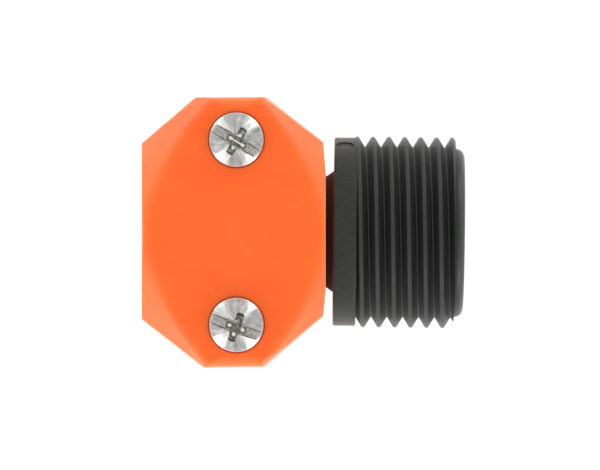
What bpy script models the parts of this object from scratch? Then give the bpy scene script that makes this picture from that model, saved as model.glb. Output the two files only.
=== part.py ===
"""Garden hose repair coupling, male end.

A barbed stem with a threaded nose is held between two clamp halves. Two screws and two nuts
draw the halves together over the hose. Units are metres. +X runs along the water's way towards
the threaded end, +Y across the two screws and +Z out of the face with the screw heads. The
coupling lies on the flat back of its back half, with the origin at the centre of its base.
"""

import math

import bmesh
import bpy
from mathutils import Vector

# Clamp, inside.
HOSE_BORE_RADIUS = 0.0097
GRIP_RIB_HEIGHT = 0.0005
GRIP_RIB_WIDTH = 0.0008
MOUTH_CHAMFER = 0.0009
END_WALL = 0.0024

# Clamp, outside. Lengths along X and Y are those at the parting plane.
CLAMP_LENGTH = 0.02576
WALL_OVER_BORE = 0.0043
WALL_BY_SCREW = 0.0007
EAR_REACH = 0.00615
PARTING_GAP = 0.0005
DRAFT_DEG = 2.0
CORNER_CUT_X = 0.0083
CORNER_CUT_Y = 0.0067
SHOULDER_HALF_WIDTH = 0.0076
SHOULDER_STEP = 0.0004
FACE_OVAL_PAST_END = 0.0005
FACE_OVAL_PAST_SIDE = 0.0026
FACE_OVAL_POWER = 1.5
FACE_TAPER_DEG = 45.0
EDGE_ROUND = 0.0003
EDGE_ROUND_FROM_DEG = 25.0

# Stem, from the threaded end to the tail. The thread is 11.5 turns to the inch, right-handed.
NOSE_LENGTH = 0.00147
NOSE_STEP = 0.0002
NOSE_ROUND = 0.0012
THREAD_LENGTH = 0.01375
THREAD_PITCH = 0.0254 / 11.5
THREAD_MAJOR_RADIUS = 0.01325
THREAD_DEPTH = 0.00145
THREAD_CREST_FLAT = 0.00016
THREAD_ROOT_FLAT = 0.00012
THREAD_FRONT_CREST = 0.00066
THREAD_SUNK = 0.0002
COLLAR_WIDTH = 0.0028
COLLAR_UNDER_THREAD = 0.00019
COLLAR_CHAMFER = 0.0002
NECK_SHOW = 0.00124
NECK_RADIUS = 0.0077
NECK_FLARE = 0.00075
FLANGE_WIDTH = 0.0018
TAIL_RADIUS = 0.0070
TAIL_WALL = 0.00125
TAIL_TIP_SETBACK = 0.0020
TAIL_TIP_LENGTH = 0.0016
TAIL_TIP_DROP = 0.0006
TAIL_PLAIN = 0.0010
BARB_HEIGHT = 0.0009
BARB_BACK = 0.0003
BARB_COUNT = 4
SOCKET_WALL = 0.00255
SOCKET_DEPTH = 0.0140
SOCKET_CONE = 0.0030
GATE_MARGIN = 0.00018
GATE_DEPTH = 0.00018
GATE_ANGLE_DEG = 66.0

# Screws and nuts: metric 4 mm, pan head with a cross recess and a slot.
SCREW_OFFSET = 0.0005
SCREW_RADIUS = 0.0020
SCREW_LENGTH = 0.0250
SCREW_TIP_CHAMFER = 0.0004
HEAD_RADIUS = 0.00373
HEAD_FLAT_RADIUS = 0.0019
HEAD_HEIGHT = 0.0024
HEAD_SIDE = 0.0007
SLOT_WIDTH = 0.00115
SLOT_DEPTH = 0.0006
SLOT_HALF_LENGTH = 0.0032
CROSS_WIDTH = 0.00080
CROSS_HALF_LENGTH = 0.00190
CROSS_DEPTH = 0.0017
SLOT_ANGLES_DEG = (-30.0, -20.0)
NUT_ACROSS_FLATS = 0.0070
NUT_HEIGHT = 0.0032
NUT_CHAMFER = 0.0005
NUT_CHAMFER_DEG = 30.0

# Clearances.
RUNNING_CLEARANCE = 0.0003
FLANGE_CLEARANCE = 0.0004
SEAT_GAP = 0.0003
SCREW_HOLE_CLEARANCE = 0.0003
NUT_BORE_CLEARANCE = 0.0002
POCKET_CLEARANCE = 0.0003

# How finely round shapes are cut into flats.
STEM_SEGMENTS = 48
CLAMP_SEGMENTS = 48
SCREW_SEGMENTS = 32
HOLE_SEGMENTS = 24
OVAL_STEPS = 12
ROUND_STEPS = 4
SMOOTH_BELOW_DEG = 35.0
MERGE_DISTANCE = 0.000001
OVERCUT = 0.001

# Sizes that follow from those above.
HALF_HEIGHT = HOSE_BORE_RADIUS + WALL_OVER_BORE - PARTING_GAP / 2
SCREW_HOLE_RADIUS = SCREW_RADIUS + SCREW_HOLE_CLEARANCE
SCREW_Y = HOSE_BORE_RADIUS + WALL_BY_SCREW + SCREW_HOLE_RADIUS
CLAMP_WIDTH = 2 * (SCREW_Y + EAR_REACH)
FACE_INSET = HALF_HEIGHT * math.tan(math.radians(DRAFT_DEG))
THREAD_ROOT_RADIUS = THREAD_MAJOR_RADIUS - THREAD_DEPTH
NOSE_RADIUS = THREAD_ROOT_RADIUS - NOSE_STEP
COLLAR_RADIUS = THREAD_MAJOR_RADIUS - COLLAR_UNDER_THREAD
GATE_RADIUS = COLLAR_WIDTH / 2 - GATE_MARGIN
FLANGE_RADIUS = HOSE_BORE_RADIUS - FLANGE_CLEARANCE
TAIL_TIP_RADIUS = TAIL_RADIUS - TAIL_TIP_DROP
BORE_RADIUS = TAIL_RADIUS - TAIL_WALL
SOCKET_RADIUS = THREAD_ROOT_RADIUS - SOCKET_WALL
NUT_BORE_RADIUS = SCREW_RADIUS + NUT_BORE_CLEARANCE

# Places that follow, along X from the hose's mouth to the nose.
TOTAL_LENGTH = CLAMP_LENGTH + NECK_SHOW + COLLAR_WIDTH + THREAD_LENGTH + NOSE_LENGTH
MOUTH_X = -TOTAL_LENGTH / 2
CLAMP_CENTRE_X = MOUTH_X + CLAMP_LENGTH / 2
SCREW_X = CLAMP_CENTRE_X + SCREW_OFFSET
WALL_X = MOUTH_X + CLAMP_LENGTH
COLLAR_X = WALL_X + NECK_SHOW
THREAD_X = COLLAR_X + COLLAR_WIDTH
THREAD_END_X = THREAD_X + THREAD_LENGTH
NOSE_X = THREAD_END_X + NOSE_LENGTH
END_WALL_INNER_X = WALL_X - END_WALL
FLANGE_X = END_WALL_INNER_X - SEAT_GAP
TAIL_START_X = FLANGE_X - FLANGE_WIDTH
BARBS_X = TAIL_START_X - TAIL_PLAIN
TAIL_END_X = MOUTH_X + TAIL_TIP_SETBACK
TAIL_TIP_X = TAIL_END_X + TAIL_TIP_LENGTH
BARB_PITCH = (BARBS_X - TAIL_TIP_X) / BARB_COUNT

# Places that follow, along Z from the flat back to the screw heads.
AXIS_Z = HALF_HEIGHT + PARTING_GAP / 2
FACE_Z = 2 * HALF_HEIGHT + PARTING_GAP
HEAD_SEAT_Z = FACE_Z + SEAT_GAP
SCREW_TIP_Z = HEAD_SEAT_Z - SCREW_LENGTH
NUT_BOTTOM_Z = SCREW_TIP_Z + SCREW_TIP_CHAMFER
POCKET_DEPTH = NUT_BOTTOM_Z + NUT_HEIGHT + SEAT_GAP

# The stem and the hose bore are turned around +Z and then laid along +X.
STEM_PLACE = (0.0, 0.0, AXIS_Z)
STEM_TURN = (0.0, math.pi / 2, 0.0)


# Collections, materials and the helpers that every piece uses.


def clear_scene():
    for old in list(bpy.data.objects):
        bpy.data.objects.remove(old, do_unlink=True)


def new_collection(name):
    group = bpy.data.collections.new(name)
    bpy.context.scene.collection.children.link(group)
    return group


def new_material(name, colour, roughness, metallic=0.0):
    material = bpy.data.materials.new(name)
    material.use_nodes = True
    shader = material.node_tree.nodes["Principled BSDF"]
    shader.inputs["Base Color"].default_value = (*colour, 1.0)
    shader.inputs["Roughness"].default_value = roughness
    shader.inputs["Metallic"].default_value = metallic
    material.diffuse_color = (*colour, 1.0)
    return material


def add_object(name, mesh, group, location=(0.0, 0.0, 0.0), rotation=(0.0, 0.0, 0.0)):
    added = bpy.data.objects.new(name, mesh)
    added.location = location
    added.rotation_euler = rotation
    group.objects.link(added)
    return added


def make_cutter(cutter):
    cutter.hide_render = True
    cutter.display_type = "WIRE"
    return cutter


def turn(piece, segments):
    """Turns the piece's outline around its own Z axis."""
    screw = piece.modifiers.new("turn", "SCREW")
    screw.axis = "Z"
    screw.angle = math.tau
    screw.steps = segments
    screw.render_steps = segments
    screw.use_merge_vertices = True
    screw.merge_threshold = MERGE_DISTANCE


def outline_mesh(name, points, closed):
    """A mesh of edges through (radius, height) points, which run down the outer side."""
    mesh = bpy.data.meshes.new(name)
    corners = [(radius, 0.0, height) for radius, height in points]
    edges = [(i, i + 1) for i in range(len(corners) - 1)]
    if closed:
        edges.append((len(corners) - 1, 0))
    mesh.from_pydata(corners, edges, [])
    return mesh


def turned(name, points, segments, group, closed=False, location=(0, 0, 0), rotation=(0, 0, 0)):
    piece = add_object(name, outline_mesh(name, points, closed), group, location, rotation)
    turn(piece, segments)
    return piece


def combine(piece, tool, operation):
    boolean = piece.modifiers.new(tool.name, "BOOLEAN")
    boolean.operation = operation
    boolean.object = tool
    boolean.solver = "EXACT"


def box(name, size, centre, group, rotation=(0.0, 0.0, 0.0)):
    mesh = bpy.data.meshes.new(name)
    form = bmesh.new()
    bmesh.ops.create_cube(form, size=1.0)
    bmesh.ops.scale(form, vec=size, verts=form.verts)
    form.to_mesh(mesh)
    form.free()
    return add_object(name, mesh, group, centre, rotation)


def prism(name, sides, radius, height, group, location):
    """An upright prism or cylinder with its lower end at the location."""
    mesh = bpy.data.meshes.new(name)
    form = bmesh.new()
    bmesh.ops.create_cone(
        form, cap_ends=True, segments=sides, radius1=radius, radius2=radius, depth=height
    )
    bmesh.ops.translate(form, vec=(0.0, 0.0, height / 2), verts=form.verts)
    form.to_mesh(mesh)
    form.free()
    return add_object(name, mesh, group, location)


def hexagon_radius(across_flats):
    return across_flats / 2 / math.cos(math.pi / 6)


def smooth_round_faces(piece):
    mesh = piece.data
    mesh.shade_smooth()
    mesh.set_sharp_from_angle(angle=math.radians(SMOOTH_BELOW_DEG))


# Clamp halves: an eight-sided block with draft, whose corners a tapered oval cuts back.


def loft_mesh(name, lower, upper):
    """A closed solid between two rings with as many points each, both anticlockwise."""
    mesh = bpy.data.meshes.new(name)
    form = bmesh.new()
    low = [form.verts.new(point) for point in lower]
    high = [form.verts.new(point) for point in upper]
    sides = []
    for i in range(len(low)):
        j = (i + 1) % len(low)
        sides.append(form.faces.new((low[i], low[j], high[j], high[i])))
    form.faces.new(list(reversed(low)))
    form.faces.new(high)
    bmesh.ops.triangulate(form, faces=sides)
    form.normal_update()
    form.to_mesh(mesh)
    form.free()
    return mesh


def block_ring(height):
    """The eight-sided outline at a height above the parting face, with the end wall's shoulder."""
    inset = height * math.tan(math.radians(DRAFT_DEG))
    half_length = CLAMP_LENGTH / 2 - inset
    half_width = CLAMP_WIDTH / 2 - inset
    corner_x = half_length - CORNER_CUT_X
    corner_y = half_width - CORNER_CUT_Y
    outline = [
        (half_length, -SHOULDER_HALF_WIDTH),
        (half_length, SHOULDER_HALF_WIDTH),
        (half_length - SHOULDER_STEP, corner_y),
        (corner_x, half_width),
        (-corner_x, half_width),
        (-half_length, corner_y),
        (-half_length, -corner_y),
        (-corner_x, -half_width),
        (corner_x, -half_width),
        (half_length - SHOULDER_STEP, -corner_y),
    ]
    return [Vector((x, y, height)) for x, y in outline]


def oval_ring(height):
    """The oval that bounds the flat face, spread by its taper below the face."""
    spread = (HALF_HEIGHT - height) / math.tan(math.radians(FACE_TAPER_DEG))
    half_x = CLAMP_LENGTH / 2 - FACE_INSET + FACE_OVAL_PAST_END + spread
    half_y = CLAMP_WIDTH / 2 - FACE_INSET + FACE_OVAL_PAST_SIDE + spread
    ring = []
    for step in range(4 * OVAL_STEPS):
        angle = math.tau * step / (4 * OVAL_STEPS)
        along_x = math.cos(angle)
        along_y = math.sin(angle)
        ring.append(Vector((
            math.copysign(half_x * abs(along_x) ** (2 / FACE_OVAL_POWER), along_x),
            math.copysign(half_y * abs(along_y) ** (2 / FACE_OVAL_POWER), along_y),
            height,
        )))
    return ring


def hose_bore_points():
    """Outline of what the two halves leave open, as (radius, X), from the stem's side down."""
    points = [
        (0.0, WALL_X + OVERCUT),
        (NECK_RADIUS + RUNNING_CLEARANCE, WALL_X + OVERCUT),
        (NECK_RADIUS + RUNNING_CLEARANCE, END_WALL_INNER_X),
        (HOSE_BORE_RADIUS, END_WALL_INNER_X),
    ]
    rib_radius = HOSE_BORE_RADIUS - GRIP_RIB_HEIGHT
    for barb in range(BARB_COUNT):
        rib_x = barb_crest_x(barb) - BARB_PITCH / 2
        points.append((HOSE_BORE_RADIUS, rib_x + GRIP_RIB_WIDTH))
        points.append((rib_radius, rib_x + GRIP_RIB_WIDTH / 2))
        points.append((rib_radius, rib_x - GRIP_RIB_WIDTH / 2))
        points.append((HOSE_BORE_RADIUS, rib_x - GRIP_RIB_WIDTH))
    points.append((HOSE_BORE_RADIUS, MOUTH_X + MOUTH_CHAMFER))
    points.append((HOSE_BORE_RADIUS + MOUTH_CHAMFER + OVERCUT, MOUTH_X - OVERCUT))
    points.append((0.0, MOUTH_X - OVERCUT))
    return points


def make_clamp_half(name, group, cutters, material, hose_bore, is_back):
    rotation = (math.pi, 0.0, 0.0) if is_back else (0.0, 0.0, 0.0)
    side = -1 if is_back else 1
    parting_z = AXIS_Z + side * PARTING_GAP / 2
    place = (CLAMP_CENTRE_X, 0.0, parting_z)
    block = loft_mesh(name, block_ring(0.0), block_ring(HALF_HEIGHT))
    half = add_object(name, block, group, place, rotation)
    half.data.materials.append(material)
    taper = loft_mesh(f"{name}_oval", oval_ring(-OVERCUT), oval_ring(HALF_HEIGHT + OVERCUT))
    oval = add_object(f"{name}_oval", taper, cutters, place, rotation)
    combine(half, make_cutter(oval), "INTERSECT")

    bevel = half.modifiers.new("rounded edges", "BEVEL")
    bevel.limit_method = "ANGLE"
    bevel.angle_limit = math.radians(EDGE_ROUND_FROM_DEG)
    bevel.width = EDGE_ROUND
    bevel.segments = 2

    combine(half, hose_bore, "DIFFERENCE")
    for number, screw_y in enumerate((SCREW_Y, -SCREW_Y), start=1):
        hole = prism(
            f"{name}_screw_hole_{number}", HOLE_SEGMENTS, SCREW_HOLE_RADIUS,
            FACE_Z + 2 * OVERCUT, cutters, (SCREW_X, screw_y, -OVERCUT),
        )
        combine(half, make_cutter(hole), "DIFFERENCE")
        if is_back:
            pocket = prism(
                f"{name}_nut_pocket_{number}", 6,
                hexagon_radius(NUT_ACROSS_FLATS) + POCKET_CLEARANCE,
                POCKET_DEPTH + OVERCUT, cutters, (SCREW_X, screw_y, -OVERCUT),
            )
            combine(half, make_cutter(pocket), "DIFFERENCE")
    smooth_round_faces(half)
    return half


# Stem: one moulding, turned around its own Z axis, which lies along world +X.


def barb_crest_x(barb):
    """The high edge of each barb, counted from the flange."""
    return BARBS_X - BARB_BACK - BARB_PITCH * barb


def stem_points():
    """The stem's section as (radius, X): down the outside, then back up through the bore."""
    points = []
    for step in range(ROUND_STEPS + 1):
        angle = math.pi / 2 * step / ROUND_STEPS
        points.append((
            NOSE_RADIUS - NOSE_ROUND + NOSE_ROUND * math.sin(angle),
            NOSE_X - NOSE_ROUND + NOSE_ROUND * math.cos(angle),
        ))
    points += [
        (NOSE_RADIUS, THREAD_X),
        (COLLAR_RADIUS - COLLAR_CHAMFER, THREAD_X),
        (COLLAR_RADIUS, THREAD_X - COLLAR_CHAMFER),
        (COLLAR_RADIUS, COLLAR_X + COLLAR_CHAMFER),
        (COLLAR_RADIUS - COLLAR_CHAMFER, COLLAR_X),
        (NECK_RADIUS + NECK_FLARE, COLLAR_X),
        (NECK_RADIUS, WALL_X),
        (NECK_RADIUS, FLANGE_X),
        (FLANGE_RADIUS, FLANGE_X),
        (FLANGE_RADIUS, TAIL_START_X),
        (TAIL_RADIUS, TAIL_START_X),
    ]
    for barb in range(BARB_COUNT):
        crest_x = barb_crest_x(barb)
        points.append((TAIL_RADIUS, crest_x + BARB_BACK))
        points.append((TAIL_RADIUS + BARB_HEIGHT, crest_x))
    points += [
        (TAIL_RADIUS, TAIL_TIP_X),
        (TAIL_TIP_RADIUS, TAIL_END_X),
        (BORE_RADIUS, TAIL_END_X),
        (BORE_RADIUS, NOSE_X - SOCKET_DEPTH - SOCKET_CONE),
        (SOCKET_RADIUS, NOSE_X - SOCKET_DEPTH),
        (SOCKET_RADIUS, NOSE_X),
    ]
    return points


def threaded_core(group):
    """A solid rod with the thread's whole form on it, longer than the thread at both ends."""
    half_base = (THREAD_PITCH - THREAD_ROOT_FLAT) / 2
    half_crest = THREAD_CREST_FLAT / 2
    profile = [
        (THREAD_ROOT_RADIUS, -half_base),
        (THREAD_MAJOR_RADIUS, -half_crest),
        (THREAD_MAJOR_RADIUS, half_crest),
        (THREAD_ROOT_RADIUS, half_base),
    ]
    # The stem's own -X faces the front, so a crest is at the front after half a turn. Half a
    # step is added, so that the thread's edges miss those of the turned stem.
    front_angle = math.pi
    spare_turns = 2
    step_count = (math.ceil(THREAD_LENGTH / THREAD_PITCH) + 2 * spare_turns) * STEM_SEGMENTS
    mesh = bpy.data.meshes.new("threaded_core")
    form = bmesh.new()
    rings = []
    for step in range(step_count + 1):
        turns = (step + 0.5) / STEM_SEGMENTS - spare_turns
        angle = front_angle + math.tau * turns
        centre = THREAD_X + THREAD_FRONT_CREST + THREAD_PITCH * turns
        ring = [
            form.verts.new((radius * math.cos(angle), radius * math.sin(angle), centre + offset))
            for radius, offset in profile
        ]
        rings.append(ring)
    for ring, following in zip(rings, rings[1:]):
        for i in range(len(profile) - 1):
            form.faces.new((ring[i], ring[i + 1], following[i + 1], following[i]))
    for step in range(step_count - STEM_SEGMENTS):
        next_turn = step + STEM_SEGMENTS
        form.faces.new(
            (rings[step][-1], rings[next_turn][0], rings[next_turn + 1][0], rings[step + 1][-1])
        )
    low_edge = rings[0] + [rings[step][0] for step in range(STEM_SEGMENTS, 0, -1)]
    high_edge = [rings[step][-1] for step in range(step_count - STEM_SEGMENTS, step_count)]
    high_edge += list(reversed(rings[-1]))
    low_tip = rings[0][0].co.z - 2 * THREAD_PITCH
    high_tip = rings[-1][0].co.z + 2 * THREAD_PITCH
    for edge, height in ((low_edge, low_tip), (high_edge, high_tip)):
        tip = form.verts.new((0.0, 0.0, height))
        for i in range(len(edge)):
            form.faces.new((tip, edge[i - 1], edge[i]))
    bmesh.ops.triangulate(form, faces=form.faces)
    bmesh.ops.recalc_face_normals(form, faces=form.faces)
    form.to_mesh(mesh)
    form.free()
    return add_object("threaded_core", mesh, group, STEM_PLACE, STEM_TURN)


def thread_reach(group):
    """The ring that the thread fills: from inside the collar up to the thread's end."""
    wide = THREAD_MAJOR_RADIUS + OVERCUT
    within_collar = (THREAD_ROOT_RADIUS + COLLAR_RADIUS) / 2
    within_wall = (SOCKET_RADIUS + NOSE_RADIUS) / 2
    points = [
        (within_wall, THREAD_END_X),
        (wide, THREAD_END_X),
        (wide, THREAD_X - THREAD_SUNK / 2),
        (within_collar, THREAD_X - THREAD_SUNK / 2),
        (within_collar, THREAD_X - 2 * THREAD_SUNK),
        (within_wall, THREAD_X - 2 * THREAD_SUNK),
    ]
    return turned("thread_reach", points, STEM_SEGMENTS, group, True, STEM_PLACE, STEM_TURN)


def make_stem(group, cutters, material):
    stem = turned("stem", stem_points(), STEM_SEGMENTS, group, True, STEM_PLACE, STEM_TURN)
    stem.data.materials.append(material)
    thread = make_cutter(threaded_core(cutters))
    combine(thread, make_cutter(thread_reach(cutters)), "INTERSECT")
    combine(stem, thread, "UNION")

    # The gate mark is a shallow round sink in the collar, turned from the front towards +Y.
    gate_angle = math.radians(GATE_ANGLE_DEG)
    gate_radius = COLLAR_RADIUS - GATE_DEPTH
    gate = prism(
        "gate_mark", HOLE_SEGMENTS, GATE_RADIUS, OVERCUT, cutters,
        (
            COLLAR_X + COLLAR_WIDTH / 2,
            gate_radius * math.sin(gate_angle),
            AXIS_Z + gate_radius * math.cos(gate_angle),
        ),
    )
    gate.rotation_euler = (-gate_angle, 0.0, 0.0)
    combine(stem, make_cutter(gate), "DIFFERENCE")
    return stem


# Screws and nuts.


def screw_points():
    """A pan head on a plain shank as (radius, height), with the head's seat at height 0."""
    points = [(0.0, HEAD_HEIGHT)]
    for step in range(ROUND_STEPS + 1):
        angle = math.pi / 2 * step / ROUND_STEPS
        points.append((
            HEAD_FLAT_RADIUS + (HEAD_RADIUS - HEAD_FLAT_RADIUS) * math.sin(angle),
            HEAD_SIDE + (HEAD_HEIGHT - HEAD_SIDE) * math.cos(angle),
        ))
    points += [
        (HEAD_RADIUS, 0.0),
        (SCREW_RADIUS, 0.0),
        (SCREW_RADIUS, SCREW_TIP_CHAMFER - SCREW_LENGTH),
        (SCREW_RADIUS - SCREW_TIP_CHAMFER, -SCREW_LENGTH),
        (0.0, -SCREW_LENGTH),
    ]
    return points


def make_screw(number, screw_y, slot_angle_deg, group, cutters, material):
    name = f"clamp_screw_{number}"
    place = (SCREW_X, screw_y, HEAD_SEAT_Z)
    screw = turned(name, screw_points(), SCREW_SEGMENTS, group, False, place)
    screw.data.materials.append(material)
    slot_angle = math.radians(slot_angle_deg)
    cuts = (
        ("slot", 2 * SLOT_HALF_LENGTH, SLOT_WIDTH, SLOT_DEPTH, 0.0),
        ("cross_along", 2 * CROSS_HALF_LENGTH, CROSS_WIDTH, CROSS_DEPTH, 0.0),
        ("cross_across", 2 * CROSS_HALF_LENGTH, CROSS_WIDTH, CROSS_DEPTH, math.pi / 2),
    )
    for label, length, width, depth, extra_turn in cuts:
        height = depth + OVERCUT
        centre = (SCREW_X, screw_y, HEAD_SEAT_Z + HEAD_HEIGHT - depth + height / 2)
        cut = box(
            f"{name}_{label}", (length, width, height), centre, cutters,
            (0.0, 0.0, slot_angle + extra_turn),
        )
        combine(screw, make_cutter(cut), "DIFFERENCE")
    return screw


def make_nut(number, screw_y, group, cutters, material):
    name = f"hex_nut_{number}"
    place = (SCREW_X, screw_y, NUT_BOTTOM_Z)
    corner_radius = hexagon_radius(NUT_ACROSS_FLATS)
    nut = prism(name, 6, corner_radius, NUT_HEIGHT, group, place)
    nut.data.materials.append(material)
    rim = corner_radius + OVERCUT
    rim_drop = (OVERCUT + NUT_CHAMFER) * math.tan(math.radians(NUT_CHAMFER_DEG))
    chamfer_points = [
        (0.0, NUT_HEIGHT),
        (corner_radius - NUT_CHAMFER, NUT_HEIGHT),
        (rim, NUT_HEIGHT - rim_drop),
        (rim, rim_drop),
        (corner_radius - NUT_CHAMFER, 0.0),
        (0.0, 0.0),
    ]
    chamfer = turned(f"{name}_chamfer", chamfer_points, SCREW_SEGMENTS, cutters, False, place)
    combine(nut, make_cutter(chamfer), "INTERSECT")
    bore = prism(
        f"{name}_bore", HOLE_SEGMENTS, NUT_BORE_RADIUS, NUT_HEIGHT + 2 * OVERCUT, cutters,
        (SCREW_X, screw_y, NUT_BOTTOM_Z - OVERCUT),
    )
    combine(nut, make_cutter(bore), "DIFFERENCE")
    return nut


def main():
    clear_scene()
    parts = new_collection("hose_repair_coupling")
    cutters = new_collection("cutters")
    orange_front = new_material("orange_plastic_front", (0.95, 0.16, 0.03), 0.42)
    orange_back = new_material("orange_plastic_back", (0.95, 0.16, 0.03), 0.42)
    black = new_material("black_plastic", (0.035, 0.035, 0.033), 0.38)

    hose_bore = turned(
        "hose_bore", hose_bore_points(), CLAMP_SEGMENTS, cutters, False, STEM_PLACE, STEM_TURN
    )
    make_cutter(hose_bore)
    make_clamp_half("front_clamp_half", parts, cutters, orange_front, hose_bore, is_back=False)
    make_clamp_half("back_clamp_half", parts, cutters, orange_back, hose_bore, is_back=True)
    make_stem(parts, cutters, black)
    for number, screw_y in enumerate((SCREW_Y, -SCREW_Y), start=1):
        screw_steel = new_material(f"screw_steel_{number}", (0.62, 0.61, 0.58), 0.3, 1.0)
        nut_steel = new_material(f"nut_steel_{number}", (0.6, 0.6, 0.58), 0.35, 1.0)
        make_screw(number, screw_y, SLOT_ANGLES_DEG[number - 1], parts, cutters, screw_steel)
        make_nut(number, screw_y, parts, cutters, nut_steel)


main()
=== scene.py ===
"""Looks of the garden hose repair coupling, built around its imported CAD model.

Each piece stands for one CAD node, rides on that node's body and keeps its place and size. Units
are metres, in the frame of the CAD: +X along the bore towards the threaded end, +Y across the
screws and +Z out of the face with the screw heads. The camera looks straight down on that face.
"""

import math

import bmesh
import bpy
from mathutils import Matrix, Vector


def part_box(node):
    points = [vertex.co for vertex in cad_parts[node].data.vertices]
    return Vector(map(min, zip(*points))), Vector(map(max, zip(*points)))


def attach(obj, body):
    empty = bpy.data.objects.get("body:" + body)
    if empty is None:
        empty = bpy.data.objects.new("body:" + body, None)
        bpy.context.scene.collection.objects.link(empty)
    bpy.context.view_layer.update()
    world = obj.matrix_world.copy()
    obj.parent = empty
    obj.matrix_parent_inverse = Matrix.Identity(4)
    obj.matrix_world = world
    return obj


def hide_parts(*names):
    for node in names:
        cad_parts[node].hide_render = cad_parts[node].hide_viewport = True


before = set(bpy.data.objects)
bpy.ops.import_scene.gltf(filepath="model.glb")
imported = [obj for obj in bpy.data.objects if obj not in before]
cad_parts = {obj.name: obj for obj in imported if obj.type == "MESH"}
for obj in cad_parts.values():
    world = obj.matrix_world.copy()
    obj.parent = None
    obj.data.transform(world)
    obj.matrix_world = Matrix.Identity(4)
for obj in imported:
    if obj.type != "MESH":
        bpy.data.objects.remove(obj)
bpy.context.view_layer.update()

# Places that the frame gives.
BACK_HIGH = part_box("back_clamp_half")[1]
FRONT_LOW, FRONT_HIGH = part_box("front_clamp_half")
STEM_LOW, STEM_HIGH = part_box("stem")
SCREW_LOW, SCREW_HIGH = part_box("clamp_screw_1")
NUT_LOW, NUT_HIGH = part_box("hex_nut_1")
MOUTH_X = FRONT_LOW.x
WALL_X = FRONT_HIGH.x
FACE_Z = FRONT_HIGH.z
AXIS_Z = (BACK_HIGH.z + FRONT_LOW.z) / 2
HALF_HEIGHT = FRONT_HIGH.z - FRONT_LOW.z
CLAMP_CENTRE_X = (FRONT_LOW.x + FRONT_HIGH.x) / 2
CLAMP_LENGTH = FRONT_HIGH.x - FRONT_LOW.x
CLAMP_WIDTH = FRONT_HIGH.y - FRONT_LOW.y
TAIL_END_X = STEM_LOW.x
NOSE_X = STEM_HIGH.x
SCREW_X = (SCREW_LOW.x + SCREW_HIGH.x) / 2
SCREW_Y = (SCREW_LOW.y + SCREW_HIGH.y) / 2
HEAD_TOP_Z = SCREW_HIGH.z
SCREW_TIP_Z = SCREW_LOW.z
NUT_BOTTOM_Z = NUT_LOW.z
NUT_TOP_Z = NUT_HIGH.z

# Clamp halves. Lengths along X and Y are those at the parting plane.
DRAFT_DEG = 1.3
CORNER_CUTS = {
    (1, 1): (0.00830, 0.00624),
    (-1, 1): (0.00752, 0.00642),
    (-1, -1): (0.00866, 0.00670),
    (1, -1): (0.00850, 0.00712),
}
SHOULDER_HALF_WIDTH = 0.0076
SHOULDER_STEP = 0.0004
NECK_SIDE_DRAFT_SHARE = 0.35
FACE_OVAL_PAST_END = -0.00004
FACE_OVAL_PAST_SIDE = 0.00188
FACE_OVAL_POWER = 1.5
FACE_OVAL_SHIFT = (0.00038, -0.00020)
FACE_EDGE_ROUND = 0.0031
FACET_DEG = 45.0
FACET_BULGE = 60.0
SPREAD_RANGE = (-0.011, 0.03)
CORNER_ROUND = 0.00035
# Where the side turns into the crown, the rounding grows with the angle that it turns by.
FACET_SIDE_ROUND = 0.0003
FACE_SIDE_ROUND = 0.0018
FACET_TURN_DEG = 46.0
FACE_TURN_DEG = 82.0
NECK_SIDE_ROUND = 0.0006
NECK_SIDE_FROM_X = 0.0085
NECK_SIDE_BLEND = 0.002
CROWN_PROBE = 0.0002
CROWN_MARGIN = 0.0006
LEAST_FACET_SHARE = 0.15
MOUTH_SHORT = 0.00008
SIDE_SHORT = {(-1, 1): 0.00006, (1, -1): 0.00010}
PARTING_EDGE_ROUND = 0.00012
OUTLINE_STEP = 0.00045
FOOT_STEPS = 3
SIDE_STEPS = 4
CROWN_STEPS = 8
FACE_EDGE_STEPS = 9
HOSE_BORE_RADIUS = 0.0097
GRIP_RIB_HEIGHT = 0.0005
GRIP_RIB_WIDTH = 0.0008
GRIP_RIB_ROUND = 0.00010
GRIP_RIB_FOOT_ROUND = 0.00015
MOUTH_CHAMFER = 0.0009
END_WALL = 0.0024
NECK_HOLE_RADIUS = 0.0080
NECK_HOLE_CHAMFER = 0.00015
SCREW_HOLE_RADIUS = 0.0023
POCKET_DEPTH = 0.0072
POCKET_ACROSS_CORNERS = 0.0087

# Stem.
NOSE_LENGTH = 0.00147
NOSE_RADIUS = 0.01170
NOSE_ROUND = 0.0012
NOSE_SHORT = 0.00017
SOCKET_RADIUS = 0.00925
SOCKET_DEPTH = 0.0140
SOCKET_CONE = 0.0030
THREAD_LENGTH = 0.01375
THREAD_PITCH = 0.0254 / 11.5
THREAD_MAJOR_RADIUS = 0.01325
THREAD_ROOT_RADIUS = 0.01187
THREAD_CREST_FLAT = 0.00038
THREAD_CREST_ROUND = 0.00020
THREAD_ROOT_FLAT = 0.00014
THREAD_END_CHAMFER = 0.0003
THREAD_FRONT_CREST = 0.00066
THREAD_SUNK = 0.0002
COLLAR_WIDTH = 0.0029
COLLAR_RADIUS = 0.01308
COLLAR_FRONT_ROUND = 0.00022
COLLAR_BACK_ROUND = 0.00026
COLLAR_SPREAD = 0.00012
NECK_RADIUS = 0.0077
NECK_FLARE = 0.00075
FLANGE_RADIUS = 0.0093
FLANGE_WIDTH = 0.0018
FLANGE_GAP = 0.0003
FLANGE_ROUND = 0.00025
TAIL_RADIUS = 0.0070
TAIL_TIP_RADIUS = 0.0064
TAIL_TIP_LENGTH = 0.0016
TAIL_PLAIN = 0.0010
BORE_RADIUS = 0.00575
BARB_HEIGHT = 0.0009
BARB_BACK = 0.0003
BARB_ROOT_ROUND = 0.00012
BARB_CREST_ROUND = 0.00007
BARB_COUNT = 4
STEM_TILT_DEG = -0.67
STEM_TILT_X = 0.0140
GATE_RADIUS = 0.00122
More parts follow.
